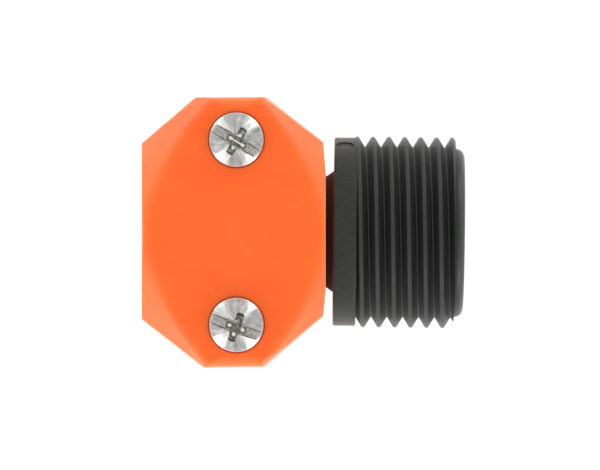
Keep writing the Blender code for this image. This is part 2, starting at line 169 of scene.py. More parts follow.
GATE_DEPTH = 0.00020
GATE_ANGLE_DEG = 66.0

# Screws and nuts.
HEAD_RADIUS = 0.00371
HEAD_DOME_HEIGHT = 0.00135
HEAD_RIM_ROUND = 0.00016
HEAD_FOOT_CHAMFER = 0.00012
HEAD_CORE_LENGTH = 0.002
HEAD_FLOAT = 0.00001
DOME_STEPS = 16
RIM_STEPS = 6
CUT_FROM_DOME = 0.00006
CUT_FROM_SEAT = 0.0002
SCREW_MAJOR_RADIUS = 0.0020
SCREW_ROOT_RADIUS = 0.00160
SCREW_PITCH = 0.0007
SCREW_CREST_FLAT = 0.00010
SCREW_CREST_ROUND = 0.00002
SCREW_ROOT_FLAT = 0.00008
SCREW_TIP_TAPER = 0.0014
SHANK_SUNK = 0.0003
SLOT_WIDTH = 0.00130
SLOT_DRAFT = 0.00008
SLOT_DEPTH = 0.00112
SLOT_HALF_LENGTH = 0.0039
# The cross recess, level by level: reach and half width of its wings, core, height from the top.
RECESS_LEDGE = -0.0014
RECESS_LEVELS = (
    (0.00242, 0.00057, 0.00104, 0.0006),
    (0.00224, 0.00054, 0.00096, 0.0),
    (0.00197, 0.00050, 0.00088, -0.0006),
    (0.00164, 0.00050, 0.00084, -0.0011),
    (0.00116, 0.00021, 0.00048, RECESS_LEDGE),
    (0.00082, 0.00018, 0.00044, RECESS_LEDGE - 0.00002),
    (0.00030, 0.00012, 0.00016, -0.00158),
)
SEAT_DEPTH = 0.00045
SEAT_GAP = 0.00025
# Each screw: number, side, angle of the slot, where the drive is struck off centre, and how
# strong the painted highlights on the ridge and on the upper ledge in the recess are.
SCREWS = (
    (1, 1, -31.0, (0.00017, -0.00020), 1.0, 1.0),
    (2, -1, -20.5, (0.00008, -0.00036), 0.0, 0.2),
)
NUT_ACROSS_CORNERS = 0.0070 / math.cos(math.pi / 6)
NUT_BORE_RADIUS = 0.0022
NUT_THREAD_REACH = 0.00012
NUT_ROOT_FLAT = 0.0003
NUT_CHAMFER = 0.0005
NUT_CHAMFER_DEG = 30.0

THREAD_X = NOSE_X - NOSE_LENGTH - THREAD_LENGTH
THREAD_END_X = NOSE_X - NOSE_LENGTH
COLLAR_X = THREAD_X - COLLAR_WIDTH - COLLAR_SPREAD
END_WALL_INNER_X = WALL_X - END_WALL
FLANGE_X = END_WALL_INNER_X - FLANGE_GAP
TAIL_START_X = FLANGE_X - FLANGE_WIDTH
BARBS_X = TAIL_START_X - TAIL_PLAIN
TAIL_TIP_X = TAIL_END_X + TAIL_TIP_LENGTH
BARB_PITCH = (BARBS_X - TAIL_TIP_X) / BARB_COUNT
OVERCUT = 0.001
SLIVER = 0.000001

# The stem and the hose bore are turned around +Z and then laid along +X.
ALONG_X = (0.0, math.pi / 2, 0.0)
STEM_PLACE = (0.0, 0.0, AXIS_Z)
STEM_SEGMENTS = 192
CLAMP_SEGMENTS = 128
SCREW_SEGMENTS = 96
SHANK_SEGMENTS = 56
SHANK_THREAD_SEGMENTS = 40
HOLE_SEGMENTS = 64
GATE_SEGMENTS = 48

pieces = bpy.data.collections.new("coupling_looks")
bpy.context.scene.collection.children.link(pieces)


# Mesh helpers.


def add_piece(name, mesh, location=(0.0, 0.0, 0.0), rotation=(0.0, 0.0, 0.0)):
    piece = bpy.data.objects.new(name, mesh)
    piece.location = location
    piece.rotation_euler = rotation
    pieces.objects.link(piece)
    return piece


def drop(piece):
    mesh = piece.data
    bpy.data.objects.remove(piece)
    bpy.data.meshes.remove(mesh)


def settle(piece):
    """Applies the piece's modifiers and its place, so that its mesh is what shows."""
    bpy.context.view_layer.update()
    depsgraph = bpy.context.evaluated_depsgraph_get()
    made = bpy.data.meshes.new_from_object(piece.evaluated_get(depsgraph))
    piece.modifiers.clear()
    old = piece.data
    piece.data = made
    bpy.data.meshes.remove(old)
    made.name = piece.name


def combine(piece, tool, operation):
    """Adds or cuts what the tool covers, or keeps only that, and drops the tool."""
    boolean = piece.modifiers.new("combine", "BOOLEAN")
    boolean.operation = operation
    boolean.object = tool
    boolean.solver = "EXACT"
    settle(piece)
    drop(tool)


def rounded(corners, steps=5):
    """The outline through (u, v, radius) corners, with an arc of that radius at each corner."""
    points = []
    for i, (u, v, radius) in enumerate(corners):
        here = Vector((u, v))
        if radius <= 0.0:
            points.append((u, v))
            continue
        back = Vector(corners[i - 1][:2]) - here
        ahead = Vector(corners[(i + 1) % len(corners)][:2]) - here
        back.normalize()
        ahead.normalize()
        half = back.angle(ahead) / 2
        middle = (back + ahead).normalized()
        centre = here + middle * (radius / math.sin(half))
        start = here + back * (radius / math.tan(half)) - centre
        stop = here + ahead * (radius / math.tan(half)) - centre
        sweep = start.angle(stop)
        for step in range(steps + 1):
            share = step / steps
            arm = (
                start * math.sin((1 - share) * sweep) + stop * math.sin(share * sweep)
            ) / math.sin(sweep)
            points.append(tuple(centre + arm))
    return points


def circle(radius, height, sides):
    angles = [math.tau * i / sides for i in range(sides)]
    return [(radius * math.cos(angle), radius * math.sin(angle), height) for angle in angles]


def turned(name, points, segments, location=(0, 0, 0), rotation=(0, 0, 0)):
    """A solid turned around Z from (radius, height) points. Points on the axis become poles."""
    form = bmesh.new()
    rings = []
    for radius, height in points:
        ring = circle(radius, height, segments) if radius > 0.0 else [(0.0, 0.0, height)]
        rings.append([form.verts.new(point) for point in ring])
    pairs = list(zip(rings, rings[1:]))
    if len(rings[0]) > 1:
        pairs.append((rings[-1], rings[0]))
    for ring, following in pairs:
        for i in range(segments):
            j = i + 1
            corners = list(dict.fromkeys((
                ring[i % len(ring)], ring[j % len(ring)],
                following[j % len(following)], following[i % len(following)],
            )))
            if len(corners) > 2:
                form.faces.new(corners)
    return finished(name, form, location, rotation)


def finished(name, form, location=(0, 0, 0), rotation=(0, 0, 0)):
    bmesh.ops.recalc_face_normals(form, faces=form.faces)
    mesh = bpy.data.meshes.new(name)
    form.to_mesh(mesh)
    form.free()
    return add_piece(name, mesh, location, rotation)


def loft(name, rings, location=(0, 0, 0), rotation=(0, 0, 0)):
    """A closed solid through rings of as many points each, capped at both ends."""
    form = bmesh.new()
    levels = [[form.verts.new(point) for point in ring] for ring in rings]
    for level, following in zip(levels, levels[1:]):
        for i in range(len(level)):
            j = (i + 1) % len(level)
            form.faces.new((level[i], level[j], following[j], following[i]))
    form.faces.new(list(reversed(levels[0])))
    form.faces.new(levels[-1])
    return finished(name, form, location, rotation)


def prism(name, sides, radius, low, high, location, rotation=(0, 0, 0)):
    rings = [circle(radius, low, sides), circle(radius, high, sides)]
    return loft(name, rings, location, rotation)


def clear_slivers(piece):
    """Splits the faces that the cuts left with many corners, and drops those with no area."""
    form = bmesh.new()
    form.from_mesh(piece.data)
    bmesh.ops.remove_doubles(form, verts=form.verts, dist=SLIVER / 4)
    many = [face for face in form.faces if len(face.verts) > 4]
    bmesh.ops.triangulate(form, faces=many, quad_method="BEAUTY", ngon_method="BEAUTY")
    bmesh.ops.dissolve_degenerate(form, dist=SLIVER, edges=form.edges)
    form.to_mesh(piece.data)
    form.free()


def shade(piece, sharp_from_deg):
    """Smooth shading whose flat faces stay flat, with edges above the angle left sharp."""
    clear_slivers(piece)
    piece.data.shade_smooth()
    piece.data.set_sharp_from_angle(angle=math.radians(sharp_from_deg))
    weighted = piece.modifiers.new("weighted normals", "WEIGHTED_NORMAL")
    weighted.mode = "FACE_AREA_WITH_ANGLE"
    weighted.weight = 80
    weighted.keep_sharp = True


def dress(piece, *materials):
    piece.data.materials.clear()
    for material in materials:
        piece.data.materials.append(material)


# Threads.


def threaded_rod(
    name, profile, pitch, crest_at, crest_angle, low, high, segments, location, rotation=(0, 0, 0)
):
    """A rod around Z with one thread, as long as low to high and two turns more at each end.

    The profile runs over one turn of the thread as (radius, offset) points, low offsets first. A
    crest is at height crest_at where the angle around Z is crest_angle.
    """
    first_turn = math.floor((low - crest_at) / pitch) - 2
    last_turn = math.ceil((high - crest_at) / pitch) + 2
    step_count = (last_turn - first_turn) * segments
    form = bmesh.new()
    rings = []
    for step in range(step_count + 1):
        turns = first_turn + (step + 0.5) / segments
        angle = crest_angle + math.tau * turns
        centre = crest_at + pitch * turns
        rings.append([
            form.verts.new((radius * math.cos(angle), radius * math.sin(angle), centre + offset))
            for radius, offset in profile
        ])
    for ring, following in zip(rings, rings[1:]):
        for i in range(len(profile) - 1):
            form.faces.new((ring[i], ring[i + 1], following[i + 1], following[i]))
    for step in range(step_count - segments):
        turn_on = step + segments
        form.faces.new(
            (rings[step][-1], rings[turn_on][0], rings[turn_on + 1][0], rings[step + 1][-1])
        )
    low_edge = rings[0] + [rings[step][0] for step in range(segments, 0, -1)]
    high_edge = [rings[step][-1] for step in range(step_count - segments, step_count)]
    high_edge += list(reversed(rings[-1]))
    for edge, ring, reach in ((low_edge, rings[0], -2), (high_edge, rings[-1], 2)):
        tip = form.verts.new((0.0, 0.0, ring[0].co.z + reach * pitch))
        for i in range(len(edge)):
            form.faces.new((tip, edge[i - 1], edge[i]))
    return finished(name, form, location, rotation)


def thread_profile(major, root, pitch, crest_flat, crest_round, root_flat):
    """One turn of a V thread with a rounded, nearly flat crest, as (radius, offset) points."""
    half_base = (pitch - root_flat) / 2
    return rounded([
        (root, -half_base, 0.0),
        (major, -crest_flat / 2, crest_round),
        (major, crest_flat / 2, crest_round),
        (root, half_base, 0.0),
    ])


# Clamp halves.


def shell_outline(height, side):
    """The outline at a height above the parting face, with rounded corners.

    The corners are cut by slightly different amounts. side is -1 where the half is turned over.
    """
    inset = height * math.tan(math.radians(DRAFT_DEG))
    half_length = CLAMP_LENGTH / 2 - inset
    half_width = CLAMP_WIDTH / 2 - inset
    neck_side = CLAMP_LENGTH / 2 - inset * NECK_SIDE_DRAFT_SHARE
    shoulder = neck_side - SHOULDER_STEP
    mouth_side = -half_length + MOUTH_SHORT
    cut = {(x, y): CORNER_CUTS[x, y * side] for x, y in CORNER_CUTS}
    edge_y = {
        (x, y): y * (half_width - SIDE_SHORT.get((x, y * side), 0.0)) for x, y in CORNER_CUTS
    }
    corners = [
        (neck_side, -SHOULDER_HALF_WIDTH, 0.0),
        (neck_side, SHOULDER_HALF_WIDTH, 0.0),
        (shoulder, half_width - cut[1, 1][1], CORNER_ROUND),
        (half_length - cut[1, 1][0], edge_y[1, 1], CORNER_ROUND),
        (-half_length + cut[-1, 1][0], edge_y[-1, 1], CORNER_ROUND),
        (mouth_side, half_width - cut[-1, 1][1], CORNER_ROUND),
        (mouth_side, -half_width + cut[-1, -1][1], CORNER_ROUND),
        (-half_length + cut[-1, -1][0], edge_y[-1, -1], CORNER_ROUND),
        (half_length - cut[1, -1][0], edge_y[1, -1], CORNER_ROUND),
        (shoulder, -half_width + cut[1, -1][1], CORNER_ROUND),
    ]
    return rounded(corners)


def divided(outline, counts):
    """The outline with each of its sides divided into the given number of steps."""
    points = []
    for i, count in enumerate(counts):
        x, y = outline[i]
        next_x, next_y = outline[(i + 1) % len(outline)]
        for step in range(count):
            share = step / count
            points.append((x + (next_x - x) * share, y + (next_y - y) * share))
    return points


def oval_radius(along_x, along_y, spread):
    """How far the face's oval, spread outwards, reaches in a direction from the middle."""
    face_inset = HALF_HEIGHT * math.tan(math.radians(DRAFT_DEG))
    half_x = CLAMP_LENGTH / 2 - face_inset + FACE_OVAL_PAST_END + spread
    half_y = CLAMP_WIDTH / 2 - face_inset + FACE_OVAL_PAST_SIDE + spread
    power = FACE_OVAL_POWER
    total = (abs(along_x) / half_x) ** power + (abs(along_y) / half_y) ** power
    return total ** (-1 / power)


def crown_depth(spread):
    """How far the crown lies under the face: a rounded edge, then facets that bulge a little."""
    slope = math.radians(FACET_DEG)
    begin = -FACE_EDGE_ROUND * math.tan(slope / 2)
    end = begin + FACE_EDGE_ROUND * math.sin(slope)
    if spread <= begin:
        return 0.0
    if spread < end:
        return FACE_EDGE_ROUND * (1 - math.cos(math.asin((spread - begin) / FACE_EDGE_ROUND)))
    beyond = spread - end
    depth = FACE_EDGE_ROUND * (1 - math.cos(slope))
    return depth + beyond * math.tan(slope) + FACET_BULGE * beyond ** 2


def halved(low, high, is_low_side, rounds=36):
    """Where a test turns from true to false between two values."""
    for _ in range(rounds):
        middle = (low + high) / 2
        if is_low_side(middle):
            low = middle
        else:
            high = middle
    return (low + high) / 2


def between(low, high, share):
    """From low to high as the share goes from 0 to 1, and no further."""
    return low + (high - low) * min(1.0, max(0.0, share))


def spread_at(x, y):
    """How far the face's oval has to spread to reach a point, counted from its middle."""
    reach = math.hypot(x, y)
    return halved(*SPREAD_RANGE, lambda s: oval_radius(x / reach, y / reach, s) < reach)


def curved(start, corner, stop, steps):
    """Points of an arc that rounds a corner, without the first."""
    weight = math.cos((corner - start).angle(stop - corner) / 2)
    points = []
    for step in range(1, steps + 1):
        q = step / steps
        ends, middle = (1 - q) ** 2, 2 * q * (1 - q) * weight
        points.append((start * ends + corner * middle + stop * q ** 2) / (ends + middle + q ** 2))
    return points


def shell_profile(foot, head, side):
    """One line up the side of a clamp half and over its crown, as far as the flat face.

    The side runs straight from foot, at the parting plane, to head, at the height of the face.
    """
    middle = Vector((FACE_OVAL_SHIFT[0], FACE_OVAL_SHIFT[1] * side, 0.0))

    def side_at(z):
        return foot.lerp(head, z / HALF_HEIGHT)

    def under_crown(z):
        point = side_at(z) - middle
        return HALF_HEIGHT - crown_depth(spread_at(point.x, point.y)) > z

    corner = side_at(halved(0.0, HALF_HEIGHT, under_crown))
    arm = corner - middle
    reach = math.hypot(arm.x, arm.y)
    along_x, along_y = arm.x / reach, arm.y / reach

    def crown_at(spread):
        radius = oval_radius(along_x, along_y, spread)
        height = HALF_HEIGHT - crown_depth(spread)
        return middle + Vector((along_x * radius, along_y * radius, height))

    at_corner = spread_at(arm.x, arm.y)
    up = (head - foot).normalized()
    inwards = (crown_at(at_corner - CROWN_PROBE) - corner).normalized()
    turn = up.angle(inwards)
    to_face = (math.degrees(turn) - FACET_TURN_DEG) / (FACE_TURN_DEG - FACET_TURN_DEG)
    to_neck = (corner.x - NECK_SIDE_FROM_X) / NECK_SIDE_BLEND
    side_round = between(FACE_SIDE_ROUND, NECK_SIDE_ROUND, to_neck)
    edge_round = between(FACET_SIDE_ROUND, side_round, to_face)
    tangent = edge_round * math.tan(turn / 2)
    after = halved(
        at_corner - 3 * tangent, at_corner,
        lambda s: (crown_at(s) - corner).length > tangent,
    )
    begin = -FACE_EDGE_ROUND * math.tan(math.radians(FACET_DEG) / 2)
    end = begin + FACE_EDGE_ROUND * math.sin(math.radians(FACET_DEG))
    last = min(begin, after - CROWN_MARGIN)
    facet_run = max(after - end, LEAST_FACET_SHARE * (after - last))

    small = PARTING_EDGE_ROUND
    lowest = foot + (Vector((foot.x, foot.y, 0.0)).normalized() * -small)
    points = [lowest] + curved(lowest, foot, side_at(small), FOOT_STEPS)
    above_foot = points[-1]
    start = corner - up * tangent
    points += [above_foot.lerp(start, step / SIDE_STEPS) for step in range(1, SIDE_STEPS)]
    points.append(start)
    points += curved(start, corner, crown_at(after), CROWN_STEPS)
    for step in range(1, CROWN_STEPS + 1):
        points.append(crown_at(after - facet_run * step / CROWN_STEPS))
    edge_run = after - facet_run - last
    for step in range(1, FACE_EDGE_STEPS + 1):
        points.append(crown_at(after - facet_run - edge_run * step / FACE_EDGE_STEPS))
    return points


def clamp_block(name, side, place, rotation):
    """The outside of a clamp half, on its parting plane, as one closed solid."""
    low_outline = shell_outline(0.0, side)
    high_outline = shell_outline(HALF_HEIGHT, side)
    counts = []
    for i, (x, y) in enumerate(low_outline):
        next_x, next_y = low_outline[(i + 1) % len(low_outline)]
        counts.append(max(1, math.ceil(math.hypot(next_x - x, next_y - y) / OUTLINE_STEP)))
    feet = divided(low_outline, counts)
    heads = divided(high_outline, counts)
    profiles = [
        shell_profile(Vector((*foot, 0.0)), Vector((*head, HALF_HEIGHT)), side)
        for foot, head in zip(feet, heads)
    ]
    return loft(name, [list(ring) for ring in zip(*profiles)], place, rotation)


def barb_crest_x(barb):
    return BARBS_X - BARB_BACK - BARB_PITCH * barb


def hose_bore():
    """What the two halves leave open: the hole for the neck, then the hose's room with its ribs."""
    corners = [
        (0.0, WALL_X + OVERCUT, 0.0),
        (NECK_HOLE_RADIUS + OVERCUT + NECK_HOLE_CHAMFER, WALL_X + OVERCUT, 0.0),
        (NECK_HOLE_RADIUS, WALL_X - NECK_HOLE_CHAMFER, 0.0),
        (NECK_HOLE_RADIUS, END_WALL_INNER_X, 0.0),
        (HOSE_BORE_RADIUS, END_WALL_INNER_X, 0.0004),
    ]
    rib_radius = HOSE_BORE_RADIUS - GRIP_RIB_HEIGHT
    for barb in range(BARB_COUNT):
        rib_x = barb_crest_x(barb) - BARB_PITCH / 2
        corners += [
            (HOSE_BORE_RADIUS, rib_x + GRIP_RIB_WIDTH, GRIP_RIB_FOOT_ROUND),
            (rib_radius, rib_x + GRIP_RIB_WIDTH / 2, GRIP_RIB_ROUND),
            (rib_radius, rib_x - GRIP_RIB_WIDTH / 2, GRIP_RIB_ROUND),
            (HOSE_BORE_RADIUS, rib_x - GRIP_RIB_WIDTH, GRIP_RIB_FOOT_ROUND),
        ]
    corners += [
        (HOSE_BORE_RADIUS, MOUTH_X + MOUTH_CHAMFER, 0.0006),
        (HOSE_BORE_RADIUS + MOUTH_CHAMFER + OVERCUT, MOUTH_X - OVERCUT, 0.0),
        (0.0, MOUTH_X - OVERCUT, 0.0),
    ]
    return turned("hose_bore", rounded(corners), CLAMP_SEGMENTS, STEM_PLACE, ALONG_X)


def make_clamp_half(name, node, body, is_back):
    rotation = (math.pi, 0.0, 0.0) if is_back else (0.0, 0.0, 0.0)
    parting_z = BACK_HIGH.z if is_back else FRONT_LOW.z
    place = (CLAMP_CENTRE_X, 0.0, parting_z)
    half = clamp_block(name, -1 if is_back else 1, place, rotation)
    combine(half, hose_bore(), "DIFFERENCE")
    for screw_y in (SCREW_Y, -SCREW_Y):
        at_screw = (SCREW_X, screw_y, 0.0)
        hole = prism(
            "screw_hole", HOLE_SEGMENTS, SCREW_HOLE_RADIUS, -OVERCUT, FACE_Z + OVERCUT, at_screw
        )
        combine(half, hole, "DIFFERENCE")
        if is_back:
            sunk = prism(
                "nut_pocket", 6, POCKET_ACROSS_CORNERS / 2, -OVERCUT, POCKET_DEPTH, at_screw
            )
        else:
            sunk = prism(
                "screw_seat", SCREW_SEGMENTS, HEAD_RADIUS + SEAT_GAP,
                FACE_Z - SEAT_DEPTH, FACE_Z + OVERCUT, at_screw,
            )
        combine(half, sunk, "DIFFERENCE")
    shade(half, sharp_from_deg=35.0)
    dress(half, orange_plastic)
    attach(half, body)
    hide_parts(node)


# Stem.


def stem_corners():
    """The stem's section as (radius, X, rounding): down the outside and back through the bore."""
    corners = [
        (SOCKET_RADIUS, NOSE_X - NOSE_SHORT, 0.0003),
        (NOSE_RADIUS, NOSE_X - NOSE_SHORT, NOSE_ROUND),
        (NOSE_RADIUS, THREAD_X + COLLAR_SPREAD, 0.0),
        (COLLAR_RADIUS, THREAD_X + COLLAR_SPREAD, COLLAR_FRONT_ROUND),
        (COLLAR_RADIUS, COLLAR_X, COLLAR_BACK_ROUND),
        (NECK_RADIUS + NECK_FLARE, COLLAR_X, 0.00015),
        (NECK_RADIUS, WALL_X, 0.0004),
        (NECK_RADIUS, FLANGE_X, 0.00015),
        (FLANGE_RADIUS, FLANGE_X, FLANGE_ROUND),
        (FLANGE_RADIUS, TAIL_START_X, FLANGE_ROUND),
        (TAIL_RADIUS, TAIL_START_X, FLANGE_ROUND),
    ]
    for barb in range(BARB_COUNT):
        crest_x = barb_crest_x(barb)
        corners.append((TAIL_RADIUS, crest_x + BARB_BACK, BARB_ROOT_ROUND))
        corners.append((TAIL_RADIUS + BARB_HEIGHT, crest_x, BARB_CREST_ROUND))
    corners += [
        (TAIL_RADIUS, TAIL_TIP_X, 0.0005),
        (TAIL_TIP_RADIUS, TAIL_END_X, 0.0002),
        (BORE_RADIUS, TAIL_END_X, 0.0002),
        (BORE_RADIUS, NOSE_X - SOCKET_DEPTH - SOCKET_CONE, 0.0006),
        (SOCKET_RADIUS, NOSE_X - SOCKET_DEPTH, 0.0006),
    ]
    return corners


def make_stem():
    stem = turned("barbed_stem", rounded(stem_corners()), STEM_SEGMENTS, STEM_PLACE, ALONG_X)
    profile = thread_profile(
        THREAD_MAJOR_RADIUS, THREAD_ROOT_RADIUS, THREAD_PITCH,
        THREAD_CREST_FLAT, THREAD_CREST_ROUND, THREAD_ROOT_FLAT,
    )
    thread = threaded_rod(
        "thread", profile, THREAD_PITCH, THREAD_X + THREAD_FRONT_CREST, math.pi,
        THREAD_X, THREAD_END_X, STEM_SEGMENTS, STEM_PLACE, ALONG_X,
    )
    within_wall = (SOCKET_RADIUS + NOSE_RADIUS) / 2
    within_collar = (THREAD_ROOT_RADIUS + COLLAR_RADIUS) / 2
    wide = THREAD_MAJOR_RADIUS + OVERCUT
    reach = turned(
        "thread_reach",
        [
            (within_wall, THREAD_END_X),
            (THREAD_MAJOR_RADIUS - THREAD_END_CHAMFER, THREAD_END_X),
            (wide, THREAD_END_X - THREAD_END_CHAMFER - OVERCUT),
            (wide, THREAD_X - THREAD_SUNK / 2),
            (within_collar, THREAD_X - THREAD_SUNK / 2),
            (within_collar, THREAD_X - 2 * THREAD_SUNK),
            (within_wall, THREAD_X - 2 * THREAD_SUNK),
        ],
        STEM_SEGMENTS, STEM_PLACE, ALONG_X,
    )
    combine(thread, reach, "INTERSECT")
    combine(stem, thread, "UNION")

    gate_angle = math.radians(GATE_ANGLE_DEG)
    gate_radius = COLLAR_RADIUS - GATE_DEPTH
    gate = prism(
        "gate_mark", GATE_SEGMENTS, GATE_RADIUS, 0.0, OVERCUT,
        (
            COLLAR_X + COLLAR_WIDTH / 2,
            gate_radius * math.sin(gate_angle),
            AXIS_Z + gate_radius * math.cos(gate_angle),
        ),
        (-gate_angle, 0.0, 0.0),
    )
    combine(stem, gate, "DIFFERENCE")
    shade(stem, sharp_from_deg=38.0)
    dress(stem, black_plastic)
    # The stem has a little play in the clamp, and lies in it slightly askew.
    tilt = math.radians(STEM_TILT_DEG)
    stem.rotation_euler.z = tilt
    stem.location.x = STEM_TILT_X * (1 - math.cos(tilt))
    stem.location.y = -STEM_TILT_X * math.sin(tilt)
    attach(stem, "stem")
    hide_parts("stem")


# Screws and nuts.


def recess_ring(reach, width, core, height):
    """The cross recess at one height: four wings with a little core between them."""
    half_wing = (
        (core, core * 0.62), (core * 1.12, width), (reach * 0.93, width), (reach, width * 0.45)
    )
    ring = []
    for wing in range(4):
        turn = wing * math.pi / 2
        along = Vector((math.cos(turn), math.sin(turn)))
        across = Vector((-along.y, along.x))
        for u, v in [(u, -v) for u, v in half_wing] + list(reversed(half_wing)):
            point = along * u + across * v
            ring.append((point.x, point.y, height))
    return ring


def cross_recess(place):
    """The cutter for the cross recess, with a ledge above its point."""
    rings = [
        recess_ring(reach, width, core, HEAD_TOP_Z + height)
        for reach, width, core, height in reversed(RECESS_LEVELS)
    ]
    return loft("recess", rings, place)


def make_screw(number, screw_y, slot_angle_deg, drive_offset, recess_steel):
    seat_z = FACE_Z - SEAT_DEPTH + HEAD_FLOAT
    place = (SCREW_X, screw_y, 0.0)
    drive_place = (SCREW_X + drive_offset[0], screw_y + drive_offset[1], 0.0)
    dome_radius = (HEAD_RADIUS ** 2 + HEAD_DOME_HEIGHT ** 2) / (2 * HEAD_DOME_HEIGHT)
    rim_turn = math.asin((HEAD_RADIUS - HEAD_RIM_ROUND) / (dome_radius - HEAD_RIM_ROUND))
    corners = [(0.0, HEAD_TOP_Z)]
    for step in range(1, DOME_STEPS + 1):
        turn = rim_turn * step / DOME_STEPS
        corners.append((
            dome_radius * math.sin(turn), HEAD_TOP_Z - dome_radius * (1 - math.cos(turn))
        ))
    rim_z = HEAD_TOP_Z - dome_radius + (dome_radius - HEAD_RIM_ROUND) * math.cos(rim_turn)
    for step in range(1, RIM_STEPS + 1):
        turn = rim_turn + (math.pi / 2 - rim_turn) * step / RIM_STEPS
        corners.append((
            HEAD_RADIUS - HEAD_RIM_ROUND + HEAD_RIM_ROUND * math.sin(turn),
            rim_z + HEAD_RIM_ROUND * math.cos(turn),
        ))
    core_radius = SCREW_ROOT_RADIUS - 0.0002
    corners += [
        (HEAD_RADIUS, seat_z + HEAD_FOOT_CHAMFER),
        (HEAD_RADIUS - HEAD_FOOT_CHAMFER, seat_z),
        (core_radius, seat_z),
        (core_radius, seat_z - HEAD_CORE_LENGTH),
        (0.0, seat_z - HEAD_CORE_LENGTH),
    ]
    screw = turned(f"pan_head_screw_{number}", corners, SCREW_SEGMENTS, place)
    profile = thread_profile(
        SCREW_MAJOR_RADIUS, SCREW_ROOT_RADIUS, SCREW_PITCH,
        SCREW_CREST_FLAT, SCREW_CREST_ROUND, SCREW_ROOT_FLAT,
    )
    shank = threaded_rod(
        "shank", profile, SCREW_PITCH, SCREW_TIP_Z, 0.0, SCREW_TIP_Z, seat_z,
        SHANK_THREAD_SEGMENTS, place,
    )
    shank_top_z = seat_z + SHANK_SUNK
    reach = turned(
        "shank_reach",
        [
            (0.0, shank_top_z),
            (SCREW_MAJOR_RADIUS + OVERCUT, shank_top_z),
            (SCREW_MAJOR_RADIUS + OVERCUT, SCREW_TIP_Z + SCREW_TIP_TAPER),
            (SCREW_ROOT_RADIUS - 0.0003, SCREW_TIP_Z),
            (0.0, SCREW_TIP_Z),
        ],
        SHANK_SEGMENTS, place,
    )
    combine(shank, reach, "INTERSECT")
    combine(screw, shank, "UNION")
    slot = loft(
        "slot",
        [
            [(x, y, z) for x, y in (
                (-SLOT_HALF_LENGTH, -half_width), (SLOT_HALF_LENGTH, -half_width),
                (SLOT_HALF_LENGTH, half_width), (-SLOT_HALF_LENGTH, half_width),
            )]
            for z, half_width in (
                (HEAD_TOP_Z - SLOT_DEPTH, SLOT_WIDTH / 2),
                (HEAD_TOP_Z, SLOT_WIDTH / 2 + SLOT_DRAFT),
                (HEAD_TOP_Z + OVERCUT, SLOT_WIDTH / 2 + SLOT_DRAFT),
            )
        ],
        drive_place,
    )
    combine(screw, slot, "DIFFERENCE")
    combine(screw, cross_recess(drive_place), "DIFFERENCE")
    shade(screw, sharp_from_deg=32.0)
    dress(screw, screw_steel, recess_steel)
    # The faces that the slot and the recess left get the second material.
    for face in screw.data.polygons:
        reach = min(math.hypot(face.center.x, face.center.y), HEAD_RADIUS)
        dome_z = HEAD_TOP_Z - dome_radius + math.sqrt(dome_radius ** 2 - reach ** 2)
        under_dome = seat_z + CUT_FROM_SEAT < face.center.z < dome_z - CUT_FROM_DOME
        if under_dome and reach < HEAD_RADIUS - HEAD_RIM_ROUND:
            face.material_index = 1
    screw.rotation_euler.z = math.radians(slot_angle_deg)
    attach(screw, f"screw_{number}")
    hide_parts(f"clamp_screw_{number}")


def make_nut(number, screw_y):
    place = (SCREW_X, screw_y, 0.0)
    corner_radius = NUT_ACROSS_CORNERS / 2
    nut = prism(f"threaded_nut_{number}", 6, corner_radius, NUT_BOTTOM_Z, NUT_TOP_Z, place)
    flat_radius = corner_radius - NUT_CHAMFER
    drop_z = (corner_radius + OVERCUT - flat_radius) * math.tan(math.radians(NUT_CHAMFER_DEG))
    chamfer = turned(
        "chamfer",
        [
            (0.0, NUT_TOP_Z),
            (flat_radius, NUT_TOP_Z),
            (corner_radius + OVERCUT, NUT_TOP_Z - drop_z),
            (corner_radius + OVERCUT, NUT_BOTTOM_Z + drop_z),
            (flat_radius, NUT_BOTTOM_Z),
            (0.0, NUT_BOTTOM_Z),
        ],
        SCREW_SEGMENTS, place,
    )
    combine(nut, chamfer, "INTERSECT")
    profile = thread_profile(
        NUT_BORE_RADIUS + NUT_THREAD_REACH, NUT_BORE_RADIUS - NUT_THREAD_REACH, SCREW_PITCH,
        SCREW_CREST_FLAT, SCREW_CREST_ROUND, NUT_ROOT_FLAT,
    )
    bore = threaded_rod(
        "bore", profile, SCREW_PITCH, NUT_BOTTOM_Z, 0.0, NUT_BOTTOM_Z, NUT_TOP_Z,
        SHANK_THREAD_SEGMENTS, place,
    )
    combine(nut, bore, "DIFFERENCE")
    shade(nut, sharp_from_deg=25.0)
    dress(nut, nut_steel)
    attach(nut, "back_half")
    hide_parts(f"hex_nut_{number}")


# Materials.


